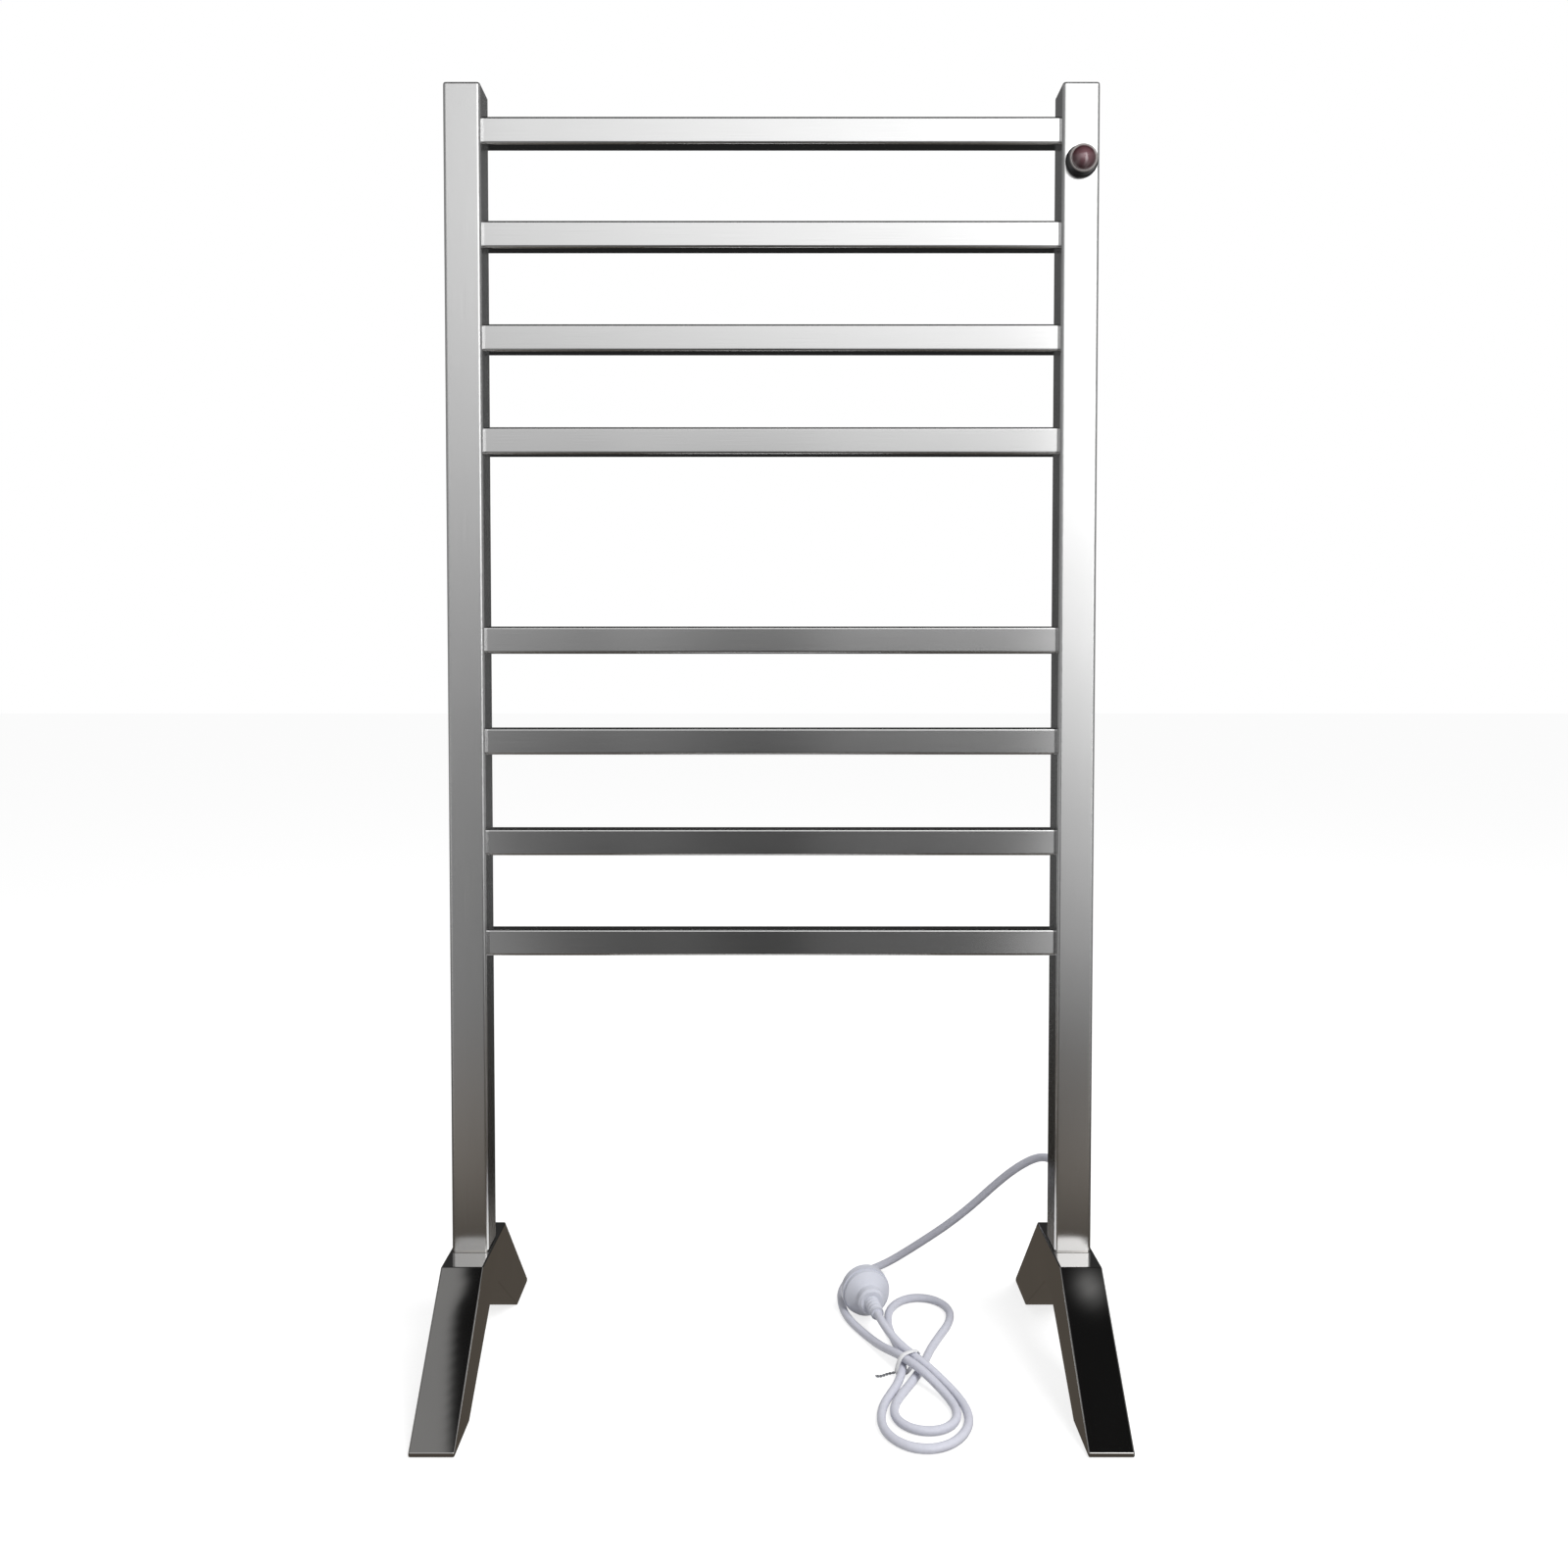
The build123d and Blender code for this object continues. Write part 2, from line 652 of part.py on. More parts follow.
def twist_tie():
    """Wire ring drawn tight round three strands at the waist, in a plane across them."""
    middle = Vector(*tie_middle, 0)
    across = Vector(*tie_across, 0).normalized()
    low = tie_wire / 2 + slip
    outline = [(-tie_left, low), (-tie_low_right, low), (tie_right, tie_rise_right), (tie_right, tie_top),
               (-tie_shoulder, tie_top), (-tie_left, tie_rise_left)]
    corners = [middle + across * x + Vector(0, 0, z) for x, z in outline]
    return wire_along(FilletPolyline(*corners, radius=tie_corner, close=True), tie_wire)


# Plug, turned about its own Y axis and laid on its rim
plug_turn = degrees(atan2(-plug_heading.X, plug_heading.Y))
plug_place = Pos(*plug_neck, plug_diameter / 2) * Rot(0, 0, plug_turn)
collar_start = plug_neck_length
cap_start = collar_start + plug_collar_length + plug_shoulder
plug_back = cap_start + plug_thickness


def plug_body():
    """Moulded plug: tapered neck, collar, and a round cap with a wider rim at the pins."""
    neck_tip = plug_neck_tip / 2
    neck = plug_neck_diameter / 2
    collar = plug_collar_diameter / 2
    cap = plug_cap_diameter / 2
    rim = plug_diameter / 2
    return plug_place * turned([
        (0, 0), (neck_tip, 0), (neck, collar_start), (collar - plug_edge, collar_start),
        (collar, collar_start + plug_edge), (collar, collar_start + plug_collar_length),
        (cap - plug_edge, cap_start), (cap, cap_start + plug_edge), (cap, cap_start + plug_thickness / 2),
        (rim, cap_start + plug_thickness / 2), (rim, plug_back), (0, plug_back)])


def plug_pins():
    """Three flat pins: two slanted, one upright."""
    pins = []
    for angle, turn in ((90, 0), (210, 30), (330, -30)):
        pin = Box(pin_thickness, pin_length, pin_width)
        x = pin_circle * cos(radians(angle))
        z = pin_circle * sin(radians(angle))
        pins.append(plug_place * Pos(x, plug_back + pin_length / 2, z) * Rot(0, turn, 0) * pin)
    return pins


def write(name, shape):
    """One STEP file per node; a list becomes a group of separate solids."""
    if isinstance(shape, list):
        shape = Compound(children=[s.solids()[0] for s in shape])
    shape.label = name
    export_step(shape, os.path.join("parts", name + ".step"))


os.makedirs("parts", exist_ok=True)
write("left_upright", left_upright())
write("right_upright", right_upright())
for side, word in ((-1, "left"), (1, "right")):
    write(word + "_top_cap", top_cap(side))
    write(word + "_foot", foot(side))
    write(word + "_foot_pads", foot_pads(side))
    write(word + "_foot_bolt", foot_bolt(side))
    write(word + "_nut_plate", nut_plate(side))
write("foot_washers", foot_washers())
for number, z in enumerate(bar_heights, start=1):
    write("crossbar_" + str(number), crossbar(z))
for piece in (switch_housing, switch_gasket, switch_nut, switch_button, switch_plunger, switch_spring,
              switch_base, switch_terminals, switch_lamp, heating_cable, heater_splices, thermal_cutout,
              live_lead, switched_lead, cutout_lead, neutral_lead, terminal_block, earth_stud, earth_lead,
              earth_nut, cord_gland, cord_tail, twist_tie, plug_body, plug_pins):
    write(piece.__name__, piece())
write("cord_lead", cord_solid(cord_lead_path(), "cord_lead"))
write("cord_hank", cord_solid(hank_path(), "cord_hank"))
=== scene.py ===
import math

import bmesh
import bpy
import numpy as np
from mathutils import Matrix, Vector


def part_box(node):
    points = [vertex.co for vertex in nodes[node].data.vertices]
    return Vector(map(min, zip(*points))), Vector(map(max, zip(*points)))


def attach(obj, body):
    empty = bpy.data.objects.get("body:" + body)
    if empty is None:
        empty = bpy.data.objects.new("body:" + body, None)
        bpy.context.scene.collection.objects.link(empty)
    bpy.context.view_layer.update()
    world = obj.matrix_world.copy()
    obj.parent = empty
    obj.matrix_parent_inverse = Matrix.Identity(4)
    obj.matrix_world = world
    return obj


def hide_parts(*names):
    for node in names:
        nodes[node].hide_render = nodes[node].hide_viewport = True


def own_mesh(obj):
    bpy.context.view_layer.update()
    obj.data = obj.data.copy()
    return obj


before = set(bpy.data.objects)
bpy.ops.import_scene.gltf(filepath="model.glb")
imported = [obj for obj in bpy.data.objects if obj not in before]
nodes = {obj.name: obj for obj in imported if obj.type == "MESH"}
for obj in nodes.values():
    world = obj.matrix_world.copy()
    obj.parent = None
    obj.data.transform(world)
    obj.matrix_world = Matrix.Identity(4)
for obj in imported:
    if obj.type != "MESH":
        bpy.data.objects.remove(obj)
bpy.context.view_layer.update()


# Feet: each a solid inverted V of cast stainless, ground and buffed to a mirror.
# The tube stands on a land on its flat shoulder, and two rubber pads under the toes keep it off the tiles.

def linear(code):
    """sRGB hex to linear: c / 12.92 up to 0.04045, above it ((c + 0.055) / 1.055) to the 2.4."""
    c = np.array([int(code[i:i + 2], 16) for i in (1, 3, 5)]) / 255
    return (*np.where(c <= 0.04045, c / 12.92, ((c + 0.055) / 1.055) ** 2.4), 1.0)


def put(tree, kind, inputs=(), **settings):
    """Adds a node with its settings; an input given as a socket is linked, anything else is its value."""
    node = tree.nodes.new(kind)
    for name, value in settings.items():
        setattr(node, name, value)
    for name, value in dict(inputs).items():
        if isinstance(value, bpy.types.NodeSocket):
            tree.links.new(value, node.inputs[name])
        else:
            node.inputs[name].default_value = value
    return node


def finish(name, sockets):
    """New material with the shader's constant sockets set; returns it, its tree and its shader's inputs."""
    made = bpy.data.materials.new(name)
    made.use_nodes = True
    inputs = made.node_tree.nodes["Principled BSDF"].inputs
    for socket, value in sockets.items():
        inputs[socket].default_value = value
    return made, made.node_tree, inputs


def pebbled(name, dark, light, rough, pebble_mm, sockets=(), dent=0.08):
    """Finish of two close tones, with a roughness and small dents that follow the same pebble.

    The pebble is noise on Object coordinates with cells pebble_mm wide; rough gives its two ends."""
    made, tree, inputs = finish(name, dict(sockets))
    place = put(tree, "ShaderNodeTexCoord").outputs["Object"]
    pebble = put(tree, "ShaderNodeTexNoise",
                 {"Vector": place, "Scale": 1000 / pebble_mm, "Detail": 2.0}).outputs[0]
    tone = put(tree, "ShaderNodeMix", {"Factor": pebble, 6: linear(dark), 7: linear(light)},
               data_type="RGBA")
    tree.links.new(tone.outputs[2], inputs["Base Color"])
    gloss = put(tree, "ShaderNodeMapRange", {"Value": pebble, "To Min": rough[0], "To Max": rough[1]})
    tree.links.new(gloss.outputs[0], inputs["Roughness"])
    bump = put(tree, "ShaderNodeBump", {"Height": pebble, "Strength": dent, "Distance": 0.0002})
    tree.links.new(bump.outputs[0], inputs["Normal"])
    return made


def dress(material, *names):
    """Puts one material on CAD nodes in place of their plain slots."""
    for name in names:
        mesh = nodes[name].data
        mesh.materials.clear()
        mesh.materials.append(material)


# Mirror-polished stainless: nearly black or white, whatever stands opposite it, with a faint bloom
# from the buffing wheel over tens of millimetres.
dress(pebbled("stainless_mirror_polished", "#bdbcbb", "#c9c7c4", (0.02, 0.06), 45, {"Metallic": 1.0},
              dent=0.0),
      "left_foot", "right_foot")

# Black rubber, moulded: dull, with a fine pebble of half a millimetre.
dress(pebbled("rubber_black_moulded", "#17171a", "#232326", (0.62, 0.8), 0.5, {"IOR": 1.52}),
      "left_foot_pads", "right_foot_pads", "switch_gasket")

# Zinc-plated steel: a grey satin metal with a slight cloudiness from the bath.
zinc_plated = pebbled("steel_zinc_plated", "#a9adb2", "#c3c5c4", (0.28, 0.42), 3, {"Metallic": 1.0},
                      dent=0.03)
dress(zinc_plated, "left_foot_bolt", "right_foot_bolt", "foot_washers", "left_nut_plate",
      "right_nut_plate", "earth_stud", "earth_nut")


# Uprights and top caps: 30 mm square stainless tube, ground along its length and lightly buffed,
# with a flat cap welded on, its edge rounded off and dressed flush.

def ground_stainless(name, axis, line_mm, rough, spread):
    """Satin stainless ground along one axis, with grinding lines of the size given along X, Y and Z.

    Real lines are about 0.1 mm apart, too fine for the picture, so they are drawn at 0.5 mm. They spread
    a reflection across themselves, so the tangent goes round the axis and spread is the anisotropy. A
    slow haze is from handling, and rough gives the two ends of the roughness."""
    haze_mm = 55
    made, tree, inputs = finish(name, {"Metallic": 1.0, "Anisotropic": spread})
    place = put(tree, "ShaderNodeTexCoord").outputs["Object"]
    stretched = put(tree, "ShaderNodeMapping", {"Vector": place, "Scale": [1000 / s for s in line_mm]})
    lines = put(tree, "ShaderNodeTexNoise",
                {"Vector": stretched.outputs[0], "Scale": 1.0, "Detail": 2.0}).outputs[0]
    haze = put(tree, "ShaderNodeTexNoise",
               {"Vector": place, "Scale": 1000 / haze_mm, "Detail": 2.0}).outputs[0]
    worn = put(tree, "ShaderNodeMath", {0: lines, 1: haze}, operation="ADD").outputs[0]
    tone = put(tree, "ShaderNodeMix", {"Factor": lines, 6: linear("#c8c8c8"), 7: linear("#d5d5d5")},
               data_type="RGBA")
    tree.links.new(tone.outputs[2], inputs["Base Color"])
    gloss = put(tree, "ShaderNodeMapRange",
                {"Value": worn, "From Max": 2.0, "To Min": rough[0], "To Max": rough[1]})
    tree.links.new(gloss.outputs[0], inputs["Roughness"])
    bump = put(tree, "ShaderNodeBump", {"Height": lines, "Strength": 0.02, "Distance": 0.0001})
    tree.links.new(bump.outputs[0], inputs["Normal"])
    tangent = put(tree, "ShaderNodeTangent", direction_type="RADIAL", axis=axis)
    tree.links.new(tangent.outputs[0], inputs["Tangent"])
    return made


dress(ground_stainless("stainless_satin_upright", "Z", (0.5, 0.5, 60), (0.2, 0.3), 0.8),
      "left_upright", "right_upright", "left_top_cap", "right_top_cap")


# Crossbars: flat-sided stainless tube, ground along X and welded between the uprights.
# Towels rub the front face, so it has the same satin as the uprights.
dress(ground_stainless("stainless_satin_crossbar", "X", (60, 0.5, 0.5), (0.14, 0.2), 0.6),
      *["crossbar_" + str(number) for number in range(1, 9)])


# Heating cable: one silicone-jacketed cable through all the bars, crimped to its leads.
# The leads, block, cut-out and earth are inside the right upright.

# Silicone, extruded: grey and dull, with a faint unevenness.
dress(pebbled("silicone_grey_extruded", "#6d6f74", "#7c7e82", (0.45, 0.6), 1.5), "heating_cable")

# Polyolefin sleeve, shrunk on: black, with the slight sheen of a heated skin.
dress(pebbled("polyolefin_black_shrunk", "#202124", "#2c2d30", (0.4, 0.55), 1.0), "heater_splices")

# Phenolic, moulded: dark brown and hard, with a low gloss.
dress(pebbled("phenolic_brown_moulded", "#4a3528", "#5c4433", (0.3, 0.45), 0.8), "thermal_cutout")

# PVC round the leads, extruded: brown, blue and green, with the soft sheen of a bendable skin.
dress(pebbled("pvc_brown_extruded", "#5b3a22", "#6c472b", (0.35, 0.5), 0.8),
      "live_lead", "switched_lead", "cutout_lead")
dress(pebbled("pvc_blue_extruded", "#1f4f9a", "#2b60ae", (0.35, 0.5), 0.8), "neutral_lead")
dress(pebbled("pvc_green_extruded", "#3f8a3a", "#4d9b45", (0.35, 0.5), 0.8), "earth_lead")

# Natural nylon, moulded: off-white, with a satin skin.
dress(pebbled("nylon_white_moulded", "#dcdcd6", "#e8e8e2", (0.4, 0.55), 0.8),
      "terminal_block", "switch_plunger")


# Switch: a black nylon collar with a pale rim painted on its front edge as a highlight, clamped in the right
# upright by a ring nut.
# The dark red dome is clear-skinned and pressed to turn the rack on; a lamp lights it from behind.

# Black nylon, moulded: nearly black, with a satin skin.
dress(pebbled("nylon_black_moulded", "#0d0d0f", "#18181b", (0.3, 0.45), 0.6, {"IOR": 1.53}),
      "switch_nut", "switch_base")

# Blown glass: pale, smooth and bright. The dome hides it.
dress(pebbled("glass_lamp_blown", "#d9dcd8", "#e6e8e4", (0.06, 0.12), 1.0), "switch_lamp")

# Brass, rolled: yellow and fairly bright, with a slight cloud.
dress(pebbled("brass_rolled", "#c8a55c", "#d8b870", (0.2, 0.34), 2, {"Metallic": 1.0}, dent=0.03),
      "switch_terminals")

# Black nylon with a pale rim painted on as a highlight: the rim is the front 0.7 mm of the collar, by its Y.
collar, tree, inputs = finish("nylon_black_painted_highlight_rim", {"IOR": 1.53})
collar_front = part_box("switch_housing")[0].y
place = put(tree, "ShaderNodeTexCoord").outputs["Object"]
depth = put(tree, "ShaderNodeSeparateXYZ", {0: place}).outputs["Y"]
painted_highlight_mask = put(tree, "ShaderNodeMapRange", {"Value": depth, "From Min": collar_front + 0.0005,
                                       "From Max": collar_front + 0.0009, "To Min": 1.0, "To Max": 0.0})
pebble_mm = 0.6
pebble = put(tree, "ShaderNodeTexNoise",
             {"Vector": place, "Scale": 1000 / pebble_mm, "Detail": 2.0}).outputs[0]
black = put(tree, "ShaderNodeMix", {"Factor": pebble, 6: linear("#0c0c0e"), 7: linear("#19191c")},
            data_type="RGBA")
# The pale rim colour is a painted highlight along the collar's front edge.
painted_highlight_tone = put(tree, "ShaderNodeMix", {"Factor": painted_highlight_mask.outputs[0], 6: black.outputs[2], 7: linear("#827d7b")},
             data_type="RGBA")
tree.links.new(painted_highlight_tone.outputs[2], inputs["Base Color"])
gloss = put(tree, "ShaderNodeMapRange", {"Value": pebble, "To Min": 0.24, "To Max": 0.36})
tree.links.new(gloss.outputs[0], inputs["Roughness"])
dress(collar, "switch_housing")

# Tinted polycarbonate: deep red, with painted light and shade: paler in the middle and darker towards its
# edge.
dome, tree, inputs = finish("polycarbonate_red_tinted", {"IOR": 1.58, "Roughness": 0.12, "Coat Weight": 0.6,
                                                         "Coat Roughness": 0.04})
button_low, button_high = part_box("switch_button")
middle = (button_low + button_high) / 2
place = put(tree, "ShaderNodeMapping", {"Vector": put(tree, "ShaderNodeTexCoord").outputs["Object"],
                                        "Location": (-middle.x, -button_low.y, -middle.z)})
reach = put(tree, "ShaderNodeVectorMath", {0: place.outputs[0]}, operation="LENGTH").outputs["Value"]
depth = put(tree, "ShaderNodeMapRange", {"Value": reach, "From Min": 0.0015, "From Max": 0.0085}).outputs[0]
red_with_painted_light = put(tree, "ShaderNodeMix", {"Factor": depth, 6: linear("#6e4f55"), 7: linear("#40282b")},
          data_type="RGBA")
tree.links.new(red_with_painted_light.outputs[2], inputs["Base Color"])
dress(dome, "switch_button")

# Return spring: six turns of zinc-plated wire round the stem, behind the dome.
# It shortens by 2.5 mm when the dome is pressed, and has a little more room than that.

def grid_mesh(name, surface_points, rows_loop, columns_loop):
    """Smooth mesh of a grid of points, rows by columns by 3, closed on itself in either direction.

    Points that fall together at a pole are merged, and the faces are turned outwards."""
    rows, columns = surface_points.shape[:2]
    row, column = np.meshgrid(np.arange(rows if rows_loop else rows - 1),
                              np.arange(columns if columns_loop else columns - 1), indexing="ij")
    below, beside = (row + 1) % rows, (column + 1) % columns
    quads = np.stack([row * columns + column, row * columns + beside, below * columns + beside,
                      below * columns + column], axis=-1).reshape(-1, 4)
    mesh = bpy.data.meshes.new(name)
    mesh.from_pydata(surface_points.reshape(-1, 3).tolist(), [], quads.tolist())
    shell = bmesh.new()
    shell.from_mesh(mesh)
    bmesh.ops.remove_doubles(shell, verts=shell.verts, dist=1e-7)
    bmesh.ops.recalc_face_normals(shell, faces=shell.faces)
    shell.to_mesh(mesh)
    shell.free()
    mesh.shade_smooth()
    made = bpy.data.objects.new(name, mesh)
    bpy.context.scene.collection.objects.link(made)
    return made


def unit(vectors):
    """Vectors scaled to length 1."""
    return vectors / np.linalg.norm(vectors, axis=-1, keepdims=True)


def wire_mesh(name, line, radius, reference):
    """Round wire: a circle carried square to a line of points, shrunk to a point at its two ends.

    The circle's first axis is square to the line and to the reference direction."""
    ahead = unit(np.gradient(line, axis=0))
    sideways = unit(np.cross(reference, ahead))
    crosswise = np.cross(ahead, sideways)
    around = np.radians(np.arange(0, 360, 30))[:, None]
    size = np.full((len(line), 1, 1), radius)
    size[[0, -1]] = 0
    circle = np.cos(around) * sideways[:, None] + np.sin(around) * crosswise[:, None]
    return grid_mesh(name, line[:, None] + size * circle, False, True)


spring_low, spring_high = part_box("switch_spring")
spring_wire = 0.00035
spring_radius = (spring_high.x - spring_low.x) / 2 - spring_wire
spring_turns = 6
s = np.linspace(0, 1, 240)
coil = np.stack([middle.x + spring_radius * np.cos(2 * np.pi * spring_turns * s),
                 spring_low.y + spring_wire + (spring_high.y - spring_low.y - 2 * spring_wire) * s,
                 middle.z + spring_radius * np.sin(2 * np.pi * spring_turns * s)], axis=1)
return_spring = wire_mesh("return_spring", coil, spring_wire, (0, 1, 0))
return_spring.data.materials.append(zinc_plated)
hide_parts("switch_spring")
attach(return_spring, "frame")
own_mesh(return_spring)


# Mains cord: 7 mm round white PVC flex, 1.27 m from the gland behind the right upright to its plug.
# It drops to the floor, goes round behind the plug and is folded in a figure of eight under a wire tie.
# The hank's points have a place on the floor in mm and a layer, 0 on the floor and 1 on top of a strand.
gland_end = (0.2485, 0.042, 0.147)
cord_radius = 0.0035
floor_lie = 0.0036
cord_lay = 0.0076
route = [gland_end, (0.2485, 0.061, 0.147), (0.239, 0.078, 0.142), (0.222, 0.088, 0.128),
         (0.204, 0.096, 0.109), (0.186, 0.105, 0.087), (0.167, 0.116, 0.0655), (0.148, 0.128, 0.046),
         (0.130, 0.140, 0.028), (0.112, 0.1475, 0.013), (0.094, 0.147, 0.0055), (0.0785, 0.138, floor_lie),
         (0.0685, 0.1225, floor_lie), (0.064, 0.1045, floor_lie), (0.0635, 0.0865, floor_lie),
         (0.0655, 0.069, floor_lie), (0.071, 0.052, floor_lie), (0.0795, 0.0355, floor_lie)]
hank = np.array([
    (85.5, 23.5, 0.09), (91, 11.5, 0.32), (96.5, 0, 0.64), (103, -12, 1.05), (109.5, -23, 1.25),
    (117.5, -34, 1.24), (125.5, -44.5, 0.97), (133.5, -55.5, 0.5), (140, -67, 0.17),
    (143.5, -80.5, 0.03), (141, -95, 0), (130.5, -105.5, 0), (116, -108, 0), (102.5, -102.5, 0),
    (94.5, -90, 0), (95.5, -75, 0), (101, -62.5, 0), (107.5, -51, 0), (114.5, -39, 0), (120.5, -27, 0),
    (126, -14.5, 0), (130.5, -2, 0), (135.5, 10.5, 0), (141.5, 22.5, 0), (147.5, 34.5, 0),
    (154, 46.5, 0), (158.5, 59.5, 0), (160, 73, 0), (155.5, 86, 0), (145.5, 95, 0), (132, 97.5, 0),
    (120, 93, 0), (111, 83.5, 0), (105.5, 72.5, 0), (103, 58.5, 0), (102.5, 45, 0), (104, 31.5, 0),
    (106, 18.5, 0), (107.5, 5.5, 0.04), (109, -7.5, 0.13), (108, -20.5, 0.21), (105.5, -33, 0.18),
    (101, -45, 0.04), (95, -57, 0), (89, -69, 0), (85, -82, 0), (83.5, -95.5, 0), (86, -109, 0),
    (93, -120, 0), (103.5, -127.5, 0), (117, -129.5, 0), (129.5, -125.5, 0), (140, -117, 0),
    (148, -104.5, 0), (151.5, -91, 0), (151, -76.5, 0), (147.5, -63.5, 0.04), (141.5, -51, 0.24),
    (133.5, -40, 0.66), (125.5, -30, 1.08), (117, -19.5, 1.29), (109.5, -9.5, 1.51), (102.5, 1.5, 1.8),
    (97, 13.5, 2.14),
])
neck = np.array([0.0918, 0.033, 0.0215])
plug_heading = np.array([-0.17, 0.985, 0.0]) / math.hypot(0.17, 0.985)
straight_end = 0.007
points = np.vstack([route, hank * (0.001, 0.001, cord_lay) + (0, 0, floor_lie),
                    neck - straight_end * plug_heading, neck])

cord_curve = bpy.data.curves.new("mains_cord", "CURVE")
cord_curve.dimensions = "3D"
spline = cord_curve.splines.new("NURBS")
spline.points.add(len(points) - 1)
spline.points.foreach_set("co", np.hstack([points, np.ones((len(points), 1))]).ravel())
spline.order_u = 3
spline.use_endpoint_u = True
spline.resolution_u = 6
cord_curve.bevel_depth = cord_radius
cord_curve.bevel_resolution = 5
mains_cord = bpy.data.objects.new("mains_cord", cord_curve)
bpy.context.scene.collection.objects.link(mains_cord)

# PVC sheath, extruded: pale and slightly blue, a soft sheen, and a faint ripple from the cooling bath.
cord_curve.materials.append(pebbled("pvc_pale_extruded", "#c9cad6", "#d5d6e0", (0.34, 0.48), 3.0))
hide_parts("cord_lead", "cord_hank")
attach(mains_cord, "frame")

# The gland and the plug are moulded from the same PVC, a little grainier from the tool.
dress(pebbled("pvc_pale_moulded", "#c7c9d4", "#d3d5de", (0.36, 0.5), 0.9),
      "cord_gland", "cord_tail", "plug_body")


# Tie: a strip of white polythene with a soft iron wire in it, drawn tight round three strands at the
# waist of the hank. Its bared ends are twisted together and lie on the floor to the left.

up = np.array([0, 0, 1.0])
across = unit(np.array([0.87, 0.49, 0.0]))
along_strands = np.array([-across[1], across[0], 0.0])
waist = np.array([0.1125, -0.0225, 0.0])
corners = np.array([(-12.4, 0.8), (-1.5, 0.8), (10.3, 11.0), (10.3, 17.9), (-6.6, 17.9),
                    (-12.4, 8.0)]) / 1000
bend = 0.0025
near = np.stack([corners + bend * unit(np.roll(corners, 1, 0) - corners),
                 corners + bend * unit(np.roll(corners, -1, 0) - corners)], axis=1).reshape(-1, 1, 2)
t = np.linspace(0, 1, 6, endpoint=False)[:, None]
# Closed quadratic spline on two points near each corner: half of (1-t)^2 a + (1+2t-2t^2) b + t^2 c.
ring = ((1 - t) ** 2 * np.roll(near, 1, 0) + (1 + 2 * t - 2 * t ** 2) * near
        + t ** 2 * np.roll(near, -1, 0)).reshape(-1, 2) / 2
forward = unit(np.roll(ring, -1, 0) - np.roll(ring, 1, 0))
outward = np.stack([forward[:, 1], -forward[:, 0]], axis=1)
# The strip's section is an ellipse 4.4 mm by 0.9 mm, thicker by half over the wire in its middle.
around = np.radians(np.arange(0, 360, 15))
half_width = 0.0022 * np.cos(around)
half_thick = 0.00045 * np.sin(around) * (1 + 0.5 * np.exp(-(half_width / 0.0006) ** 2))
flat = ring[:, None] + half_thick[None, :, None] * outward[:, None]
strip_points = (waist + flat[..., :1] * across + flat[..., 1:] * up
                + half_width[None, :, None] * along_strands)
hank_tie = grid_mesh("hank_tie", strip_points, True, True)
# Polythene, coated on the wire: white and slightly waxy.
hank_tie.data.materials.append(pebbled("polythene_white_coated", "#e4e5e8", "#efeff1", (0.3, 0.45), 0.8))
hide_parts("twist_tie")
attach(hank_tie, "frame")

# Twisted ends: two wires 1 mm thick wound round each other, a turn in every 5 mm, on a wavy line.
s = np.linspace(0, 1, 120)
line = np.stack([0.1010 - 0.016 * s, -0.0285 + 0.0018 * np.sin(5.5 * s) + 0.002 * s,
                 0.0012 + 0.0034 * (1 - s) ** 4], axis=1)
forward = unit(np.gradient(line, axis=0))
sideways = unit(np.cross(up, forward))
upward = np.cross(forward, sideways)
iron_radius = 0.0005
wind_radius = 0.00055
wind_turns = 3.2
# Soft iron wire, drawn: a dull grey, partly oxidised.
iron_wire = pebbled("iron_wire_dull", "#7d7f84", "#93959a", (0.4, 0.55), 0.8, {"Metallic": 0.6})
for number in (1, 2):
    wind = (2 * np.pi * wind_turns * s + np.pi * number)[:, None]
    wound = line + wind_radius * (np.cos(wind) * sideways + np.sin(wind) * upward)
    tie_end = wire_mesh("tie_end_" + str(number), wound, iron_radius, (0, 0, 1))
    tie_end.data.materials.append(iron_wire)
    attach(tie_end, "frame")


# Plug: a round back moulded in PVC on the end of the cord, with three pins in its face.
# Its tapered neck has four soft ribs, which keep the cord from bending sharply where it goes in.

# The ribs' surface: its radius grows by 55 in 1000 along the neck, with 0.8 mm of rib where a sine of
# 4.6 mm is positive, and its two ends sink into the neck.
neck_radius = 0.0048
neck_taper = 0.055
rib_height = 0.0008
rib_pitch = 0.0046
skin = 0.0001
s = np.linspace(0.0002, 0.0186, 120)
rib = np.maximum(np.sin(2 * np.pi * (s + 0.0009) / rib_pitch), 0) ** 1.3
radius = neck_radius + neck_taper * s + rib_height * rib + skin
radius[[0, -1]] -= 0.0006
around = np.radians(np.arange(0, 360, 7.5))
beside = np.cross(plug_heading, up)
relief_points = (neck + s[:, None, None] * plug_heading + radius[:, None, None]
                 * (np.cos(around)[:, None] * beside + np.sin(around)[:, None] * up))
plug_relief = grid_mesh("plug_relief", relief_points, False, True)
plug_relief.data.materials.append(nodes["plug_body"].data.materials[0])
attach(plug_relief, "frame")

# Pins: nickel-plated brass, bright with a slight cloud.
dress(pebbled("brass_nickel_plated", "#c9c5bb", "#d6d3cb", (0.16, 0.28), 2, {"Metallic": 1.0}, dent=0.03),
      "plug_pins")


# Studio: a white floor under a white sky, and one soft lamp high on the right. Steel shows what is round it,
# so a tent that only gloss sees gives it its light and dark. The camera is in front.

def smooth(value, low, high):
    """0 below low, 1 above high, and 3t^2 - 2t^3 between them."""
    t = np.clip((value - low) / (high - low), 0, 1)
    return t * t * (3 - 2 * t)


